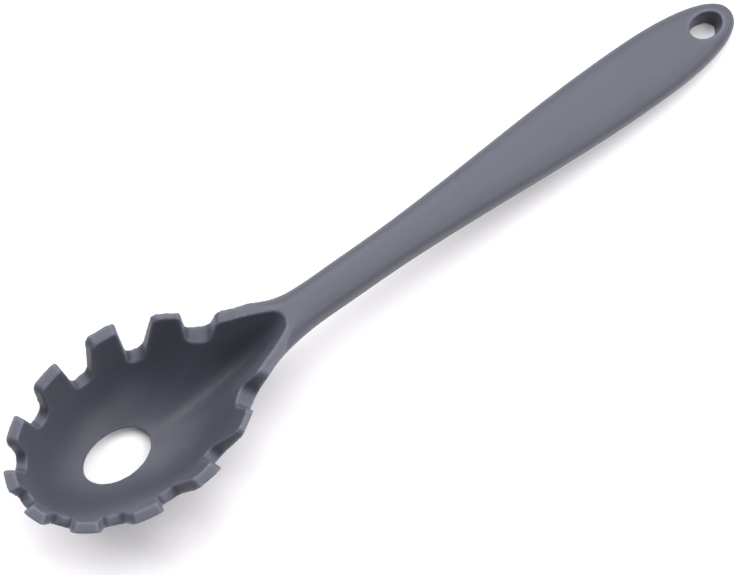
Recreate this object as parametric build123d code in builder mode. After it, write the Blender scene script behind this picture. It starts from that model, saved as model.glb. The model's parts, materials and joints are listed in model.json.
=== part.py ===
from math import atan2, cos, pi, radians, sin, sqrt, tan
import os

from build123d import *

# A pasta server: a bowl with ten teeth and a drain hole, on a long handle with a hanging hole.
# A soft jacket is moulded over a stiff core, and the core's handle is cast round a steel strip.
# It lies as it rests on a table: bowl at -X, handle at +X, the table at Z = 0.
# A "reach" is a distance from the front of the bowl along X, with the length's middle at X = 0.
# An "inset" moves a whole form inwards, so the core follows the jacket's shape.

# Whole part
overall_length = 290.0
overrun = 5.0
rest_depth = 0.3

# Rim and back line, seen from the side
rim_front_height = 35.0
rim_arch = 3.6
neck_height = 25.2
end_height = 9.7
end_drop = 2.2

# Bowl: the reach of its widest place, and its length from there to the front
bowl_reach = 43.0
nose_length = 43.3
bowl_half_width = 30.2
side_radius = 21.8
side_angle = 72.0
front_radius = 35.0
front_angle = 75.0
wall = 3.6

# Pocket behind the bowl's widest place, in shares of its length and of its half width
pocket_length = 59.8
tail_radius = 78.0
tail_angle = 60.0
pocket_shares = [
    (0.16, 0.985),
    (0.30, 0.930),
    (0.43, 0.815),
    (0.54, 0.635),
    (0.65, 0.430),
    (0.79, 0.305),
    (0.90, 0.210),
    (0.96, 0.145),
    (0.985, 0.095),
]

# Shoulders and neck: the outline falls in two steps, the first one taking most of the width
heel_reach = 52.0
shoulder_start_reach = 49.6
shoulder_end_reach = 91.0
shoulder_share = 0.53
neck_start_reach = 65.0
neck_reach = 113.0
neck_half_width = 6.8
neck_thickness = 13.0

# Handle
grip_start_reach = 131.0
grip_reach = 248.0
grip_half_width = 11.85
rest_reach = 274.0
under_power = 2.7
back_power = 3.0
outline_power = 2.4
end_power = 7.5

# Notches: places along half the rim, from the front, of the top front, bottom front, bottom
# rear and top rear corners, in shares of its length, and depths in shares of the deepest
notch_depth = 17.6
front_notch_shares = (-0.0277, -0.0165, 0.0165, 0.0277, 0.37)
notch_shares = [
    (0.0860, 0.0935, 0.1339, 0.1504, 0.54),
    (0.2227, 0.2294, 0.2729, 0.2976, 0.65),
    (0.3780, 0.3839, 0.4303, 0.4663, 0.85),
    (0.5456, 0.5516, 0.5920, 0.6354, 1.00),
    (0.7036, 0.7111, 0.7672, 0.7897, 0.54),
]
tooth_gap = 0.1

# Radii of a notch's corners, in the same order: the ramp at its rear is rounded the most
tooth_rear_radius = 1.4
tooth_front_radius = 3.0
notch_front_radius = 2.4
notch_rear_radius = 3.2
front_notch_radius = 1.6

# Holes: the drain hole opens out below the floor, the hanging hole narrows downwards from its
# rounded upper edge, by the draft in a neck's thickness
drain_reach = 34.5
drain_half_length = 12.1
drain_half_width = 7.7
drain_flare = 0.6
hang_reach = 278.2
hang_half_length = 6.15
hang_half_width = 4.05
hang_draft = 1.1
hang_radius = 0.5
slope_run = 0.1

# Core, its keying slots and the strip inside it
head_cover = 1.1
handle_cover = 2.0
key_count = 4
key_pitch = 10.0
key_length = 6.0
key_width = 4.0
key_reach = 241.0
strip_reach = 163.0
strip_length = 110.0
strip_width = 5.0
strip_thickness = 2.0

front = -overall_length / 2


def ramp(value, low, high):
    """Smooth share that grows from 0 at low to 1 at high."""
    share = min(1.0, max(0.0, (value - low) / (high - low)))
    return (1 - cos(pi * share)) / 2


def mix(share, first, second):
    """Value between two others."""
    return first + (second - first) * share


def even_spline(points, tangents=None):
    """Spline with evenly spaced parameters, so that lofted sections share their knots."""
    parameters = [step / (len(points) - 1) for step in range(len(points))]
    return Edge.make_spline([Vector(*point) for point in points], tangents, parameters=parameters)


def back_height(reach):
    """Height of the rim, and behind the neck of the handle's back."""
    if reach > neck_reach:
        along = (reach - neck_reach) / (overall_length - neck_reach)
        past = max(0.0, (reach - grip_reach) / (overall_length - grip_reach))
        return mix(along, neck_height, end_height) - end_drop * past**2
    turn = 2 * pi * max(0.0, reach / neck_reach)
    return mix(reach / neck_reach, rim_front_height, neck_height) + rim_arch * (1 - cos(turn)) / 2


class Flank:
    """Upright profile of the bowl from its centre outwards: a flat, an arc, a leaning wall."""

    def __init__(self, radius, angle, size, size_height, inset=0.0):
        self.radius = radius
        self.angle = radians(angle)
        self.flat = 0.0
        self.flat = size - self.size(size_height, inset)

    def knee(self, inset):
        """Height where the arc meets the leaning wall."""
        return self.radius - (self.radius - inset) * cos(self.angle)

    def size(self, height, inset):
        """Distance of the wall from the bowl's centre at one height."""
        arc = self.radius - inset
        if height <= self.knee(inset):
            return self.flat + sqrt(max(0.0, arc**2 - (self.radius - height) ** 2))
        rise = height - self.knee(inset)
        return self.flat + arc * sin(self.angle) + rise / tan(self.angle)

    def height(self, size, inset):
        """Height of the profile at one distance from the bowl's centre."""
        arc = self.radius - inset
        across = max(0.0, size - self.flat)
        if across <= arc * sin(self.angle):
            return self.radius - sqrt(arc**2 - across**2)
        return self.knee(inset) + (across - arc * sin(self.angle)) * tan(self.angle)


side_flank = Flank(side_radius, side_angle, bowl_half_width, back_height(bowl_reach))
nose_flank = Flank(front_radius, front_angle, nose_length, rim_front_height)
pocket_end_height = back_height(bowl_reach + pocket_length)
tail_flank = Flank(tail_radius, tail_angle, pocket_length, pocket_end_height, wall)


def half_width(reach, inset=0.0):
    """Half width of the outline behind the bowl's widest place."""
    neck = neck_half_width - inset
    grip = grip_half_width - inset
    if reach <= neck_reach:
        shoulder = ramp(reach, shoulder_start_reach, shoulder_end_reach)
        fall = mix(shoulder_share, ramp(reach, neck_start_reach, neck_reach), shoulder)
        return mix(fall, bowl_half_width - inset, neck)
    if reach <= grip_reach:
        return mix(ramp(reach, grip_start_reach, grip_reach), neck, grip)
    share = (reach - grip_reach) / (overall_length - inset - grip_reach)
    return grip * (1 - share**outline_power) ** (1 / outline_power)


def underside(reach, inset=0.0):
    """Height of the underside behind the bowl's widest place."""
    at_neck = neck_height - neck_thickness
    if reach <= neck_reach:
        return inset + at_neck * ramp(reach, heel_reach, neck_reach)
    along = (reach - neck_reach) / (rest_reach - neck_reach)
    return inset + mix(min(1.0, along), at_neck, 0.0)


def nose_section(reach, angles, inset):
    """Lower and upper half curve of a cross section ahead of the bowl's widest place."""
    top = back_height(reach) + overrun
    keel = nose_flank.height(bowl_reach - reach, inset)
    lower = []
    for angle in angles:
        height = mix(1 - cos(angle), keel, top)
        share = (bowl_reach - reach) / nose_flank.size(height, inset)
        width = side_flank.size(height, inset) * sqrt(max(0.0, 1 - share**2))
        lower.append((width, height))
    upper = [(lower[-1][0] * (1 - angle / angles[-1]), top) for angle in angles]
    return lower, upper


def rear_section(reach, angles, inset):
    """Lower and upper half curve of a cross section of the rear bowl, neck or handle."""
    low = underside(reach, inset)
    back = back_height(reach) - inset
    width = half_width(reach, inset)
    bowl_top = back_height(bowl_reach) + overrun
    stretch = (back_height(reach) - low) / (back_height(bowl_reach) - inset)
    share = max(0.0, (reach - grip_reach) / (overall_length - inset - grip_reach))
    middle = (back + low) / 2
    half_height = (back - low) / 2 * (1 - share**end_power) ** (1 / end_power)
    to_handle = ramp(reach, bowl_reach + pocket_length * 3 / 4, neck_reach)
    lower = []
    upper = []
    for angle in angles:
        height = mix(1 - cos(angle), inset, bowl_top)
        bowl_width = side_flank.size(height, inset) * width / (bowl_half_width - inset)
        bowl_height = low + (height - inset) * stretch
        grip_width = width * sin(angle) ** (2 / under_power)
        grip_height = middle - half_height * cos(angle) ** (2 / under_power)
        point = (mix(to_handle, bowl_width, grip_width), mix(to_handle, bowl_height, grip_height))
        lower.append(point)
    for angle in angles:
        across = bowl_width * (1 - angle / angles[-1])
        grip_width = width * cos(angle) ** (2 / back_power)
        grip_height = middle + half_height * sin(angle) ** (2 / back_power)
        point = (mix(to_handle, across, grip_width), mix(to_handle, bowl_height, grip_height))
        upper.append(point)
    return lower, upper


def stations(inset):
    """Reaches of the cross sections, closest together where the outline turns fastest."""
    nose = nose_flank.size(rim_front_height + overrun, inset)
    turns = (6, 12, 17, 22, 28, 35, 43, 53, 64, 77, 90)
    places = [bowl_reach - nose * cos(radians(turn)) for turn in turns]
    places += [mix(step / 10, bowl_reach, neck_reach) for step in range(1, 11)]
    shares = (0.08, 0.2, 0.35, 0.53, 0.72, 0.9, 1)
    places += [mix(share, neck_reach, grip_reach) for share in shares]
    tail = overall_length - inset - grip_reach
    turns = (16, 31, 44, 55, 65, 73, 80, 85, 88.5)
    places += [grip_reach + tail * sin(radians(turn)) for turn in turns]
    return places


def add_body(bowl_inset, handle_inset):
    """Loft the filled form of bowl, neck and handle through its cross sections."""
    angles = [pi / 2 * step / 9 for step in range(10)]
    sections = []
    for reach in stations(handle_inset):
        inset = mix(ramp(reach, neck_reach, grip_start_reach), bowl_inset, handle_inset)
        shape = nose_section if reach <= bowl_reach else rear_section
        lower, upper = shape(reach, angles, inset)
        origin = (front + reach, 0, -rest_depth)
        with BuildSketch(Plane(origin=origin, x_dir=(0, 1, 0), z_dir=(1, 0, 0))) as section:
            with BuildLine():
                add(even_spline([(-y, z) for y, z in lower[:0:-1]] + lower))
                add(even_spline(upper + [(-y, z) for y, z in upper[-2::-1]]))
            make_face()
        sections.append(section.sketch.face())
    loft(sections)


def cut_above_rim(drop):
    """Take away all that stands above the rim line, lowered by the drop."""
    reaches = [mix(step / 8, -overrun, neck_reach) for step in range(9)]
    points = [(front + reach, back_height(reach) - drop) for reach in reaches]
    top = rim_front_height + 2 * overrun
    with BuildSketch(Plane.XZ) as above:
        with BuildLine():
            rim = Spline(points)
            Polyline(rim @ 0, (points[0][0], top), (points[-1][0], top), rim @ 1)
        make_face()
    extrude(above.sketch, amount=bowl_half_width + overrun, both=True, mode=Mode.SUBTRACT)


def cut_pocket(inset):
    """Hollow the bowl, level by level from its floor to above the rim."""
    arc = side_radius - inset
    heights = [side_radius - arc * cos(side_flank.angle * step / 4) for step in range(4)]
    knee = side_flank.knee(inset)
    heights += [mix(step / 4, knee, rim_front_height + overrun) for step in range(5)]
    centre = front + bowl_reach
    levels = []
    for height in heights:
        width = side_flank.size(height, inset)
        nose = nose_flank.size(height, inset)
        tail = tail_flank.size(height, inset)
        with BuildSketch(Plane.XY.offset(height)) as level:
            with BuildLine():
                flank = [(centre + tail * along, width * across) for along, across in pocket_shares]
                mirrored = [(x, -y) for x, y in flank[::-1]]
                points = [(centre, width)] + flank + [(centre + tail, 0)] + mirrored
                ends = [Vector(1, 0), Vector(-1, 0)]
                add(even_spline(points + [(centre, -width)], ends))
                EllipticalCenterArc((centre, 0), nose, width, start_angle=90, arc_size=180)
            make_face()
        levels.append(level.sketch.face())
    loft(levels, mode=Mode.SUBTRACT)


def notch(shares, radii, spread, hand):
    """Cutter of one notch, square to the rim on the +Y or -Y side and rounded at the rim."""
    places = [share * rim_half.length for share in shares[:-1]]
    middle = sum(places) / len(places)
    low = -shares[-1] * notch_depth - spread

    def rim_place(along):
        """Point of half the rim at one distance along it, or its mirror ahead of the front."""
        return rim_half.position_at(abs(along), position_mode=PositionMode.LENGTH)

    def rim_rise(along):
        """Height just above the rim at one distance along it, from the notch's middle."""
        here = back_height(rim_place(along).X - front)
        return here - back_height(rim_place(middle).X - front) + tooth_gap

    point = rim_place(middle)
    run = rim_half.tangent_at(middle, position_mode=PositionMode.LENGTH)
    along = Vector(run.X, hand * run.Y, 0)
    origin = (point.X, hand * point.Y, back_height(point.X - front))
    plane = Plane(origin=origin, x_dir=along, z_dir=along.cross(Vector(0, 0, 1)))
    ahead = places[0] - spread - 2 * radii[0]
    behind = places[-1] + spread + 2 * radii[-1]
    corners = [
        (places[0] - spread - middle, rim_rise(places[0] - spread)),
        (places[1] - spread - middle, low),
        (places[2] + spread - middle, low),
        (places[3] + spread - middle, rim_rise(places[3] + spread)),
    ]
    with BuildSketch(plane) as profile:
        with BuildLine():
            Polyline(
                (ahead - middle, overrun),
                (ahead - middle, rim_rise(ahead)),
                *corners,
                (behind - middle, rim_rise(behind)),
                (behind - middle, overrun),
                close=True,
            )
        make_face()
        for corner, radius in zip(corners, radii):
            fillet(profile.vertices().sort_by_distance((*corner, 0))[0], radius)
    lean = notch_depth / tan(side_flank.angle)
    return extrude(profile.sketch, amount=2 * wall + lean, both=True, mode=Mode.PRIVATE)


def cut_notches(spread):
    """Cut the front notch and five notches on each side, all widened by the spread."""
    front_radii = [tooth_rear_radius, front_notch_radius, front_notch_radius, tooth_rear_radius]
    side_radii = [tooth_rear_radius, notch_front_radius, notch_rear_radius, tooth_front_radius]
    cutters = [notch(front_notch_shares, front_radii, spread, 1)]
    for shares in notch_shares:
        cutters += [notch(shares, side_radii, spread, hand) for hand in (1, -1)]
    add(cutters, mode=Mode.SUBTRACT)


def handle_plane(reach):
    """Plane in the middle of the handle's thickness, along the slope of its back there."""
    fall = atan2(back_height(reach) - back_height(reach + slope_run), slope_run)
    middle = (back_height(reach) + underside(reach)) / 2
    origin = (front + reach, 0, middle)
    return Plane(origin=origin, x_dir=(cos(fall), 0, -sin(fall)), z_dir=(sin(fall), 0, cos(fall)))


def cut_holes(spread):
    """Cut the drain hole and the hanging hole, widened by the spread."""
    levels = []
    for height, flare in ((0, drain_flare), (wall, 0), (side_radius / 2, 0)):
        with BuildSketch(Plane.XY.offset(height)) as drain:
            with Locations((front + drain_reach, 0)):
                growth = spread + flare
                Ellipse(drain_half_length + growth, drain_half_width + growth)
        levels.append(drain.sketch.face())
    loft(levels[:2], mode=Mode.SUBTRACT)
    loft(levels[1:], mode=Mode.SUBTRACT)
    ends = []
    for side in (1, -1):
        with BuildSketch(handle_plane(hang_reach).offset(side * neck_thickness)) as hang:
            growth = spread + side * hang_draft
            Ellipse(hang_half_length + growth, hang_half_width + growth)
        ends.append(hang.sketch.face())
    loft(ends, mode=Mode.SUBTRACT)


with BuildLine() as rim_outline:
    rear_reaches = [mix(step / 10, bowl_reach, neck_reach) for step in range(11)]
    rear_points = [(front + reach, half_width(reach)) for reach in rear_reaches]
    EllipticalCenterArc(
        (front + bowl_reach, 0), nose_length, bowl_half_width, start_angle=180, arc_size=-90
    )
    add(even_spline(rear_points, [Vector(1, 0), Vector(1, 0)]))
rim_half = rim_outline.wire()

os.makedirs("parts", exist_ok=True)

with BuildPart() as steel_strip:
    with BuildSketch(handle_plane(strip_reach)):
        SlotOverall(strip_length, strip_width)
    extrude(amount=strip_thickness / 2, both=True)
steel_strip.part.label = "steel_strip"
export_step(steel_strip.part, "parts/steel_strip.step")

with BuildPart() as silicone_jacket:
    add_body(0, 0)
    cut_above_rim(0)
    split(bisect_by=Plane.XY, keep=Keep.TOP)
    cut_pocket(wall)
    cut_notches(0)
    cut_holes(0)
    hole_top = (front + hang_reach, 0, back_height(hang_reach))
    fillet(silicone_jacket.edges().sort_by_distance(hole_top)[0], hang_radius)

with BuildPart() as nylon_core:
    add_body(head_cover, handle_cover)
    cut_above_rim(head_cover)
    cut_pocket(wall - head_cover)
    cut_notches(head_cover)
    cut_holes(head_cover)
    with BuildSketch(handle_plane(key_reach)):
        with GridLocations(key_pitch, 0, key_count, 1):
            SlotOverall(key_length, key_width)
    extrude(amount=neck_thickness, both=True, mode=Mode.SUBTRACT)
    add(steel_strip.part, mode=Mode.SUBTRACT)
nylon_core.part.label = "nylon_core"
export_step(nylon_core.part, "parts/nylon_core.step")

with silicone_jacket:
    add(nylon_core.part, mode=Mode.SUBTRACT)
    add(steel_strip.part, mode=Mode.SUBTRACT)
silicone_jacket.part.label = "silicone_jacket"
export_step(silicone_jacket.part, "parts/silicone_jacket.step")
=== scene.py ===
"""Studio scene of a pasta server: a soft slate-grey jacket over a stiff core with a steel strip.

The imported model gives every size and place. This script gives the jacket its rounded, moulded
skin, each piece its finish, and the studio its floor, lights and camera.
"""

import json
import logging
import math
from dataclasses import dataclass, field
from enum import Enum
from typing import Any, Union

import bpy
import numpy as np
from mathutils import Matrix, Vector

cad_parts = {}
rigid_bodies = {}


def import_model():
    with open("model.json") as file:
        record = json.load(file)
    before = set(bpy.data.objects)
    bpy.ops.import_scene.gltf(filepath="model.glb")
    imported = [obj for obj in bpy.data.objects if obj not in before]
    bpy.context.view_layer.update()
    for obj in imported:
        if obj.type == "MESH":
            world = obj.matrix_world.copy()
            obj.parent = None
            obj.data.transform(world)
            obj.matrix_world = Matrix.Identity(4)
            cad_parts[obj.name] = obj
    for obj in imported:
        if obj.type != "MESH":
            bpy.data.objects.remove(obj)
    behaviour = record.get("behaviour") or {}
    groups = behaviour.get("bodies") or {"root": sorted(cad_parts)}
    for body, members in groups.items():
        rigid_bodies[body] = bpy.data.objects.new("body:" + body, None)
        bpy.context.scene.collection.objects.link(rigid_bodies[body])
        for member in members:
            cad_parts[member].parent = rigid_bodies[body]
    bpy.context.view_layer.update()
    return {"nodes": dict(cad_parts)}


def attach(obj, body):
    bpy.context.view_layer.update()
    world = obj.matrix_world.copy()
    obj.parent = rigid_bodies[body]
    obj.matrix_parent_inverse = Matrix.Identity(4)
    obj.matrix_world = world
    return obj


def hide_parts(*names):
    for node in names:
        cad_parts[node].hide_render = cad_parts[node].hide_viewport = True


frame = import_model()

log = logging.getLogger("pasta_server")

Colour = tuple[float, float, float, float]
Triple = tuple[float, float, float]
Pair = tuple[float, float]
Stops = list[tuple[float, Colour]]

# Noise and the factors of a mix run from 0 to 1.
MIDDLE = 0.5
WHOLE = 1.0

# A tint or a stretch that changes nothing.
EVEN: Triple = (1.0, 1.0, 1.0)

# Numbers of the sockets that share their name with others of the same node.
FIRST_VALUE = 0
SECOND_VALUE = 1
FIRST_COLOUR = 6
SECOND_COLOUR = 7
MIXED_COLOUR = 2

# How many numbers a mesh stores for the place of a vertex, and for the ends of an edge.
AXES = 3
ENDS = 2


class Operation(Enum):
    """Math node operations that the shader expressions use."""

    ADD = "ADD"
    SUBTRACT = "SUBTRACT"
    MULTIPLY = "MULTIPLY"


class Blend(Enum):
    """Ways in which two colours are mixed."""

    MIX = "MIX"
    MULTIPLY = "MULTIPLY"


class Value:
    """A shader socket that takes part in Python expressions.

    Args:
        tree: The node tree that the socket belongs to.
        socket: The output socket that carries the number.
    """

    def __init__(self, tree: "ShaderTree", socket: bpy.types.NodeSocket) -> None:
        self.tree = tree
        self.socket = socket

    def _join(self, operation: Operation, first: Any, second: Any) -> "Value":
        """Add one Math node.

        Args:
            operation: The node's operation.
            first: Its first number or value.
            second: Its second number or value.

        Returns:
            The node's result.
        """
        node = self.tree.node(
            "ShaderNodeMath",
            {"operation": operation.value},
            {FIRST_VALUE: first, SECOND_VALUE: second},
        )
        return Value(self.tree, node.outputs["Value"])

    def __add__(self, other: Union["Value", float]) -> "Value":
        """Sum of two values."""
        return self._join(Operation.ADD, self, other)

    def __radd__(self, other: float) -> "Value":
        """Sum of a number and this value."""
        return self._join(Operation.ADD, other, self)

    def __sub__(self, other: Union["Value", float]) -> "Value":
        """Difference of two values."""
        return self._join(Operation.SUBTRACT, self, other)

    def __rsub__(self, other: float) -> "Value":
        """A number less this value."""
        return self._join(Operation.SUBTRACT, other, self)

    def __mul__(self, other: Union["Value", float]) -> "Value":
        """Product of two values."""
        return self._join(Operation.MULTIPLY, self, other)

    def __rmul__(self, other: float) -> "Value":
        """Product of a number and this value."""
        return self._join(Operation.MULTIPLY, other, self)


class ShaderTree:
    """The node tree of one material, with its Principled shader.

    Args:
        name: The material's name.
    """

    def __init__(self, name: str) -> None:
        self.material = bpy.data.materials.new(name)
        self.material.use_nodes = True
        self.tree = self.material.node_tree
        self.shader = self.tree.nodes["Principled BSDF"]

    def node(
        self, kind: str, settings: dict[str, Any], inputs: dict[Union[str, int], Any]
    ) -> bpy.types.Node:
        """Add any node.

        Args:
            kind: The node's type name.
            settings: Its properties and a ramp's stops, set before its sockets.
            inputs: Values or links of its sockets, by name or number.

        Returns:
            The new node.
        """
        node = self.tree.nodes.new(kind)
        for name, setting in settings.items():
            if name == "stops":
                self._set_stops(node, setting)
            else:
                setattr(node, name, setting)
        for name, given in inputs.items():
            self.feed(node.inputs[name], given)
        return node

    def feed(self, socket: bpy.types.NodeSocket, given: Any) -> None:
        """Link or set one input socket.

        Args:
            socket: The input socket.
            given: A value, an output socket or a plain number or colour.
        """
        if isinstance(given, Value):
            self.tree.links.new(given.socket, socket)
        elif isinstance(given, bpy.types.NodeSocket):
            self.tree.links.new(given, socket)
        else:
            socket.default_value = given

    def surface(self, inputs: dict[str, Any]) -> bpy.types.Material:
        """Feed the Principled shader.

        Args:
            inputs: Values or links of its sockets, by name.

        Returns:
            The finished material.
        """
        for name, given in inputs.items():
            self.feed(self.shader.inputs[name], given)
        return self.material

    def _set_stops(self, node: bpy.types.Node, stops: Stops) -> None:
        """Place a colour ramp's stops.

        Args:
            node: The ColorRamp node.
            stops: Each stop's position and colour.
        """
        elements = node.color_ramp.elements
        while len(elements) < len(stops):
            elements.new(WHOLE)
        for element, (position, colour) in zip(elements, stops):
            element.position = position
            element.color = colour

    def noise(self, scale: float, detail: float, stretch: Triple = EVEN) -> Value:
        """Noise over the piece's own coordinates.

        Args:
            scale: Cells per metre.
            detail: Octaves of finer noise.
            stretch: Scale along each axis.

        Returns:
            The noise, about 0.5 on average.
        """
        place = self.node("ShaderNodeTexCoord", {}, {})
        mapping = self.node(
            "ShaderNodeMapping",
            {},
            {"Vector": place.outputs["Object"], "Scale": stretch},
        )
        noise = self.node(
            "ShaderNodeTexNoise",
            {},
            {"Vector": mapping.outputs["Vector"], "Scale": scale, "Detail": detail},
        )
        return Value(self, noise.outputs["Fac"])

    def layer(self, name: str) -> Value:
        """A number that the piece's mesh carries at each point.

        Args:
            name: The layer's name.

        Returns:
            The number.
        """
        node = self.node("ShaderNodeAttribute", {"attribute_name": name}, {})
        return Value(self, node.outputs["Fac"])

    def ramp(self, value: Value, stops: Stops) -> bpy.types.NodeSocket:
        """Colours picked along a value.

        Args:
            value: The value to follow.
            stops: Each stop's position and colour.

        Returns:
            The ramp's colour.
        """
        node = self.node("ShaderNodeValToRGB", {"stops": stops}, {"Fac": value})
        return node.outputs["Color"]

    def mix(
        self, factor: Any, first: Any, second: Any, blend: Blend = Blend.MIX
    ) -> bpy.types.NodeSocket:
        """Mix of two colours.

        Args:
            factor: The second colour's share.
            first: The first colour.
            second: The second colour.
            blend: How they are mixed.

        Returns:
            The mixed colour.
        """
        node = self.node(
            "ShaderNodeMix",
            {"data_type": "RGBA", "blend_type": blend.value},
            {"Factor": factor, FIRST_COLOUR: first, SECOND_COLOUR: second},
        )
        return node.outputs[MIXED_COLOUR]

    def bump(self, height: Value, strength: float, distance: float) -> bpy.types.NodeSocket:
        """Relief from a height.

        Args:
            height: The relief's height, 0 to 1.
            strength: The node's strength.
            distance: Real height of the relief in metres.

        Returns:
            The bent normal.
        """
        node = self.node(
            "ShaderNodeBump",
            {},
            {"Height": height, "Strength": strength, "Distance": distance},
        )
        return node.outputs["Normal"]


def grey(level: float, tint: Triple = EVEN) -> Colour:
    """A tinted grey.

    Args:
        level: The grey's brightness.
        tint: Factor of each channel.

    Returns:
        The colour with full alpha.
    """
    red, green, blue = (level * factor for factor in tint)
    return (red, green, blue, WHOLE)


def grey_stops(
    places: tuple[float, ...], shares: tuple[float, ...], level: float = WHOLE, tint: Triple = EVEN
) -> Stops:
    """Stops of a ramp of greys.

    Args:
        places: Each stop's position.
        shares: Each stop's share of the level.
        level: The greys' brightness.
        tint: Factor of each channel.

    Returns:
        Each stop's position and colour.
    """
    return [(place, grey(level * share, tint)) for place, share in zip(places, shares)]


@dataclass(frozen=True)
class SiliconeFinish:
    """Matte slate-grey silicone, with painted highlights on its sharp edges and painted shade in
    its hollows, a fine mould grain and a little dust.

    In every finish a scale is in cells per metre and a height in metres. A span holds the places
    of a ramp's stops, and the shares beside it are their factors of the level.
    """

    name: str = "slate_silicone"
    level: float = 0.049
    tint: Triple = (0.875, 0.94, 1.32)
    cloud_scale: float = 38.0
    cloud_detail: float = 3.0
    cloud_span: Pair = (0.30, 0.70)
    cloud_shares: Pair = (0.94, 1.06)
    grain_scale: float = 5200.0
    grain_detail: float = 2.0
    grain_height: float = 0.00003
    grain_strength: float = 0.35
    dust_scale: float = 1500.0
    dust_detail: float = 1.0
    dust_span: Pair = (0.745, 0.80)
    dust_cover: Pair = (0.0, 1.0)
    dust_share: float = 1.5
    edge_layer: str = "edge_share"
    edge_span: Triple = (0.25, 0.5, 0.80)
    painted_light_shares: Triple = (0.84, 1.0, 2.1)
    roughness: float = 0.53
    cloud_roughness: float = 0.10
    grain_roughness: float = 0.06
    edge_gloss: float = 0.10
    specular: float = 0.54
    sheen: float = 0.10
    sheen_roughness: float = 0.45

    def material(self) -> bpy.types.Material:
        """Build the material.

        Returns:
            The material.
        """
        shade = ShaderTree(self.name)
        cloud = shade.noise(self.cloud_scale, self.cloud_detail)
        grain = shade.noise(self.grain_scale, self.grain_detail)
        dust = shade.noise(self.dust_scale, self.dust_detail)
        edge = shade.layer(self.edge_layer)
        clouds = grey_stops(self.cloud_span, self.cloud_shares, self.level, self.tint)
        body = shade.ramp(cloud, clouds)
        # Painted light: the ramp over the edge layer paints sharp edges up to about twice as
        # bright, as a highlight, and hollows a little darker, as shade.
        painted_edge_light = shade.ramp(edge, grey_stops(self.edge_span, self.painted_light_shares))
        body_with_painted_light = shade.mix(WHOLE, body, painted_edge_light, Blend.MULTIPLY)
        specks = shade.ramp(dust, grey_stops(self.dust_span, self.dust_cover))
        colour = shade.mix(specks, body_with_painted_light, grey(self.level * self.dust_share, self.tint))
        rough = (
            self.roughness
            + self.cloud_roughness * (cloud - MIDDLE)
            + self.grain_roughness * (grain - MIDDLE)
            - self.edge_gloss * (edge - MIDDLE)
        )
        return shade.surface(
            {
                "Base Color": colour,
                "Roughness": rough,
                "Normal": shade.bump(grain, self.grain_strength, self.grain_height),
                "Specular IOR Level": self.specular,
                "Sheen Weight": self.sheen,
                "Sheen Roughness": self.sheen_roughness,
            }
        )


@dataclass(frozen=True)
class NylonFinish:
    """Glass-filled nylon, near black, with the faint streaks of its short fibres."""

    name: str = "filled_nylon"
    level: float = 0.030
    fibre_scale: float = 900.0
    fibre_detail: float = 3.0
    fibre_stretch: Triple = (0.12, 1.0, 1.0)
    fibre_span: Pair = (0.35, 0.75)
    fibre_shares: Pair = (0.8, 1.9)
    fibre_height: float = 0.00004
    fibre_strength: float = 0.3
    roughness: float = 0.42
    fibre_roughness: float = 0.18

    def material(self) -> bpy.types.Material:
        """Build the material.

        Returns:
            The material.
        """
        shade = ShaderTree(self.name)
        fibre = shade.noise(self.fibre_scale, self.fibre_detail, self.fibre_stretch)
        greys = grey_stops(self.fibre_span, self.fibre_shares, self.level)
        return shade.surface(
            {
                "Base Color": shade.ramp(fibre, greys),
                "Roughness": self.roughness + self.fibre_roughness * fibre,
                "Normal": shade.bump(fibre, self.fibre_strength, self.fibre_height),
            }
        )


@dataclass(frozen=True)
class SteelFinish:
    """Cold-rolled stainless strip with its rolling lines along the handle."""

    name: str = "rolled_stainless"
    level: float = 0.58
    line_scale: float = 1600.0
    line_detail: float = 2.0
    line_stretch: Triple = (0.02, 1.0, 1.0)
    line_span: Pair = (0.3, 0.7)
    line_shares: Pair = (0.9, 1.08)
    line_height: float = 0.00001
    line_strength: float = 0.3
    roughness: float = 0.26
    line_roughness: float = 0.20

    def material(self) -> bpy.types.Material:
        """Build the material.

        Returns:
            The material.
        """
        shade = ShaderTree(self.name)
        lines = shade.noise(self.line_scale, self.line_detail, self.line_stretch)
        greys = grey_stops(self.line_span, self.line_shares, self.level)
        return shade.surface(
            {
                "Base Color": shade.ramp(lines, greys),
                "Roughness": self.roughness + self.line_roughness * lines,
                "Normal": shade.bump(lines, self.line_strength, self.line_height),
                "Metallic": WHOLE,
            }
        )


def select_only(piece: bpy.types.Object) -> None:
    """Deselect everything and make one piece selected and active.

    Args:
        piece: The piece to work on.
    """
    bpy.ops.object.select_all(action="DESELECT")
    piece.select_set(True)
    bpy.context.view_layer.objects.active = piece


def apply_modifier(piece: bpy.types.Object, kind: str, **settings: Any) -> None:
    """Add a modifier and apply it.

    Args:
        piece: The piece to change.
        kind: The modifier's type.
        settings: The modifier's properties.
    """
    select_only(piece)
    modifier = piece.modifiers.new(kind.lower(), kind)
    for name, setting in settings.items():
        setattr(modifier, name, setting)
    bpy.ops.object.modifier_apply(modifier=modifier.name)


def dress(piece: bpy.types.Object, material: bpy.types.Material) -> None:
    """Give a piece its only material.

    Args:
        piece: The piece to dress.
        material: Its material.
    """
    piece.data.materials.clear()
    piece.data.materials.append(material)


def put_in_scene(name: str, data: Union[bpy.types.Light, bpy.types.Camera]) -> bpy.types.Object:
    """Put a light or a camera into the scene.

    Args:
        name: The object's name.
        data: The light or camera.

    Returns:
        The object that holds it.
    """
    holder = bpy.data.objects.new(name, data)
    bpy.context.scene.collection.objects.link(holder)
    return holder


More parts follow.
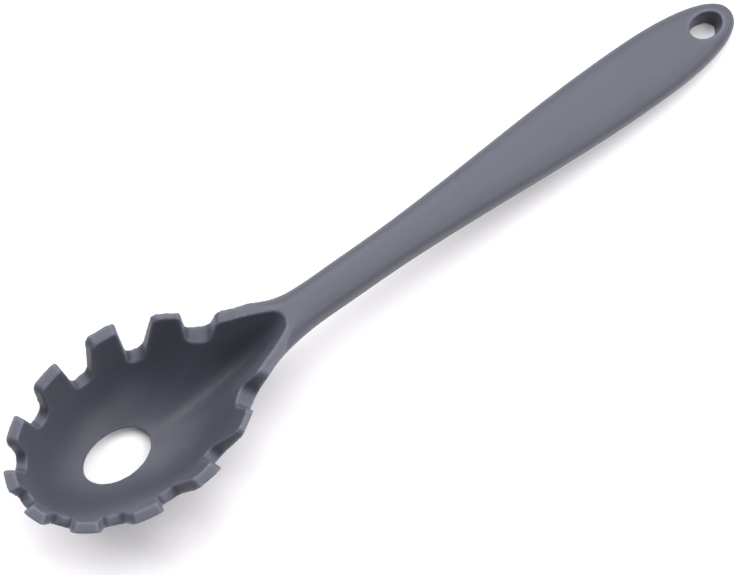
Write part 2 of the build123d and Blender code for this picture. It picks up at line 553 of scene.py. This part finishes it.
@dataclass(frozen=True)
class SiliconeJacket:
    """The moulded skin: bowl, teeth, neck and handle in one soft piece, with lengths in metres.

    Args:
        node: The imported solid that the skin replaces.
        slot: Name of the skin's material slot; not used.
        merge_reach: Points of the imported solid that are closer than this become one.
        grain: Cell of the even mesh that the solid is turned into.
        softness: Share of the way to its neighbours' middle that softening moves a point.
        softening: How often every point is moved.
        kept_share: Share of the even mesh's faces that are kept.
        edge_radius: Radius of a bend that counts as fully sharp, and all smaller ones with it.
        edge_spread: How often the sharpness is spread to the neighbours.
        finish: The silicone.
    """

    node: str = "silicone_jacket"
    slot: str = "silicone"
    merge_reach: float = 0.00001
    grain: float = 0.00045
    softness: float = 0.5
    softening: int = 6
    kept_share: float = 0.5
    edge_radius: float = 0.0008
    edge_spread: int = 3
    finish: SiliconeFinish = field(default_factory=SiliconeFinish)

    def build(self) -> bpy.types.Object:
        """Round off the skin's edges and dress it.

        Returns:
            The finished piece.
        """
        piece = self._copy_of_solid()
        self._keep_outside(piece)
        apply_modifier(piece, "REMESH", mode="VOXEL", voxel_size=self.grain)
        apply_modifier(piece, "SMOOTH", factor=self.softness, iterations=self.softening)
        apply_modifier(piece, "DECIMATE", ratio=self.kept_share)
        select_only(piece)
        bpy.ops.object.shade_smooth()
        self._mark_edges(piece)
        dress(piece, self.finish.material())
        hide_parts(self.node)
        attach(piece, "root")
        return piece

    def _copy_of_solid(self) -> bpy.types.Object:
        """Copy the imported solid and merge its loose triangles.

        Returns:
            The copy, under its own name.
        """
        select_only(frame["nodes"][self.node])
        bpy.ops.object.duplicate()
        piece = bpy.context.view_layer.objects.active
        piece.name = "jacket_skin"
        piece.parent = None
        piece.matrix_world = Matrix.Identity(4)
        bpy.ops.object.mode_set(mode="EDIT")
        bpy.ops.mesh.select_all(action="SELECT")
        bpy.ops.mesh.remove_doubles(threshold=self.merge_reach)
        bpy.ops.object.mode_set(mode="OBJECT")
        return piece

    def _keep_outside(self, piece: bpy.types.Object) -> None:
        """Delete the walls of the hollow that the core fills.

        Args:
            piece: The merged copy.
        """
        mesh = piece.data
        foremost = min(mesh.vertices, key=lambda vertex: vertex.co.x)
        for part in (mesh.vertices, mesh.edges, mesh.polygons):
            for element in part:
                element.select = False
        foremost.select = True
        select_only(piece)
        bpy.ops.object.mode_set(mode="EDIT")
        bpy.context.tool_settings.mesh_select_mode = (True, False, False)
        bpy.ops.mesh.select_linked()
        bpy.ops.mesh.select_all(action="INVERT")
        bpy.ops.mesh.delete(type="VERT")
        bpy.ops.object.mode_set(mode="OBJECT")

    def _mark_edges(self, piece: bpy.types.Object) -> None:
        """Store how sharply the skin bends: over a half on edges, under it in hollows. The
        silicone paints highlights on the edges and shade in the hollows from it.

        Args:
            piece: The finished skin.
        """
        mesh = piece.data
        count = len(mesh.vertices)
        places = np.empty(count * AXES, dtype=np.float32)
        normals = np.empty(count * AXES, dtype=np.float32)
        ends = np.empty(len(mesh.edges) * ENDS, dtype=np.int32)
        mesh.vertices.foreach_get("co", places)
        mesh.vertices.foreach_get("normal", normals)
        mesh.edges.foreach_get("vertices", ends)
        places, normals = places.reshape(-1, AXES), normals.reshape(-1, AXES)
        start, stop = ends.reshape(-1, ENDS).T
        gap = places[stop] - places[start]
        square = np.maximum((gap**2).sum(axis=1), self.merge_reach**2)
        fall_ahead = -(gap * normals[start]).sum(axis=1) / square
        fall_back = (gap * normals[stop]).sum(axis=1) / square
        neighbours = np.bincount(start, minlength=count) + np.bincount(stop, minlength=count)
        bend = np.bincount(start, fall_ahead, count) + np.bincount(stop, fall_back, count)
        bend = np.clip(bend / neighbours * self.edge_radius, -MIDDLE, MIDDLE)
        for _ in range(self.edge_spread):
            around = np.bincount(start, bend[stop], count) + np.bincount(stop, bend[start], count)
            bend = (bend + around / neighbours) / 2
        layer = mesh.attributes.new(self.finish.edge_layer, "FLOAT", "POINT")
        layer.data.foreach_set("value", (MIDDLE + bend).astype(np.float32))


@dataclass(frozen=True)
class HiddenPiece:
    """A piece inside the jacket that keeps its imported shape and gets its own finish.

    Args:
        node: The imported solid.
        finish: The material that it is made of.
    """

    node: str
    finish: Union[NylonFinish, SteelFinish]

    def build(self) -> bpy.types.Object:
        """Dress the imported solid.

        Returns:
            The dressed piece.
        """
        piece = frame["nodes"][self.node]
        dress(piece, self.finish.material())
        return piece


@dataclass(frozen=True)
class Softbox:
    """A soft square light that faces the object.

    Args:
        name: The light's name.
        place: Where it hangs, in metres.
        power: Its power in watts.
        side: Its side in metres.
    """

    name: str
    place: Triple
    power: float
    side: float = 1.1

    def build(self) -> None:
        """Hang the light."""
        lamp = bpy.data.lights.new(self.name, "AREA")
        lamp.size = self.side
        lamp.energy = self.power
        holder = put_in_scene(self.name, lamp)
        holder.location = self.place
        holder.rotation_euler = (-Vector(self.place)).to_track_quat("-Z", "Y").to_euler()


@dataclass(frozen=True)
class Studio:
    """Pale floor, soft light and the photograph's camera, in metres, watts and degrees.

    The camera looks down by the pitch and towards the yaw, which is counted from the handle's
    direction, and is rolled about its own line of sight. Its focal length is in pixels of a frame
    as wide as the photograph, and its sensor in millimetres.
    """

    floor_size: float = 8.0
    floor_colour: Colour = (0.905, 0.885, 0.908, 1.0)
    floor_roughness: float = 0.85
    floor_specular: float = 0.1
    softboxes: tuple[Softbox, ...] = (
        Softbox("far", (-0.458, 1.098, 1.071), 21.0),
        Softbox("rear", (0.722, 0.945, 1.071), 9.0),
        Softbox("right", (1.180, -0.152, 1.071), 15.0),
        Softbox("near", (0.458, -1.098, 1.071), 15.0),
        Softbox("top", (0.364, 0.476, 1.483), 15.0),
    )
    surround_colour: Colour = (0.97, 0.97, 1.0, 1.0)
    surround_strength: float = 0.06
    view_transform: str = "Standard"
    camera_place: Triple = (-0.13582, -0.16737, 0.77039)
    pitch: float = 75.0
    yaw: float = 52.6366
    roll: float = 0.4167
    focal_pixels: float = 2408.0
    frame_pixels: float = 740.0
    sensor: float = 36.0

    def build(self) -> None:
        """Set up everything around the object."""
        self._floor()
        for softbox in self.softboxes:
            softbox.build()
        self._world()
        self._camera()

    def _floor(self) -> None:
        """Lay the pale floor under the object."""
        bpy.ops.object.select_all(action="DESELECT")
        bpy.ops.mesh.primitive_plane_add(size=self.floor_size, location=(0.0, 0.0, 0.0))
        floor = bpy.context.view_layer.objects.active
        floor.name = "floor"
        material = ShaderTree("pale_floor").surface(
            {
                "Base Color": self.floor_colour,
                "Roughness": self.floor_roughness,
                "Specular IOR Level": self.floor_specular,
            }
        )
        dress(floor, material)

    def _world(self) -> None:
        """Fill the shadows with a pale surround and show colours as they are."""
        world = bpy.data.worlds.new("studio")
        bpy.context.scene.world = world
        world.use_nodes = True
        background = world.node_tree.nodes["Background"]
        background.inputs["Color"].default_value = self.surround_colour
        background.inputs["Strength"].default_value = self.surround_strength
        bpy.context.scene.view_settings.view_transform = self.view_transform

    def _camera(self) -> None:
        """Put the camera at the photograph's viewing angle."""
        pitch, yaw, roll = (math.radians(turn) for turn in (self.pitch, self.yaw, self.roll))
        right = Vector((math.sin(yaw), -math.cos(yaw), 0.0))
        level_ahead = Vector((math.cos(yaw), math.sin(yaw), 0.0))
        ahead = level_ahead * math.cos(pitch) + Vector((0.0, 0.0, -math.sin(pitch)))
        down = ahead.cross(right)
        turned_right = right * math.cos(roll) - down * math.sin(roll)
        turned_down = right * math.sin(roll) + down * math.cos(roll)
        lens = bpy.data.cameras.new("camera")
        lens.sensor_width = self.sensor
        lens.lens = self.focal_pixels * self.sensor / self.frame_pixels
        holder = put_in_scene("camera", lens)
        axes = Matrix((turned_right, -turned_down, -ahead)).transposed().to_4x4()
        holder.matrix_world = Matrix.Translation(self.camera_place) @ axes
        bpy.context.scene.camera = holder


def main() -> None:
    """Build each piece in order, then the studio."""
    logging.basicConfig(level=logging.INFO, format="%(name)s: %(message)s")
    pieces = (
        SiliconeJacket(),
        HiddenPiece("nylon_core", NylonFinish()),
        HiddenPiece("steel_strip", SteelFinish()),
    )
    for piece in pieces:
        built = piece.build()
        log.info("%s has %d faces", built.name, len(built.data.polygons))
    Studio().build()


if __name__ == "__main__":
    main()
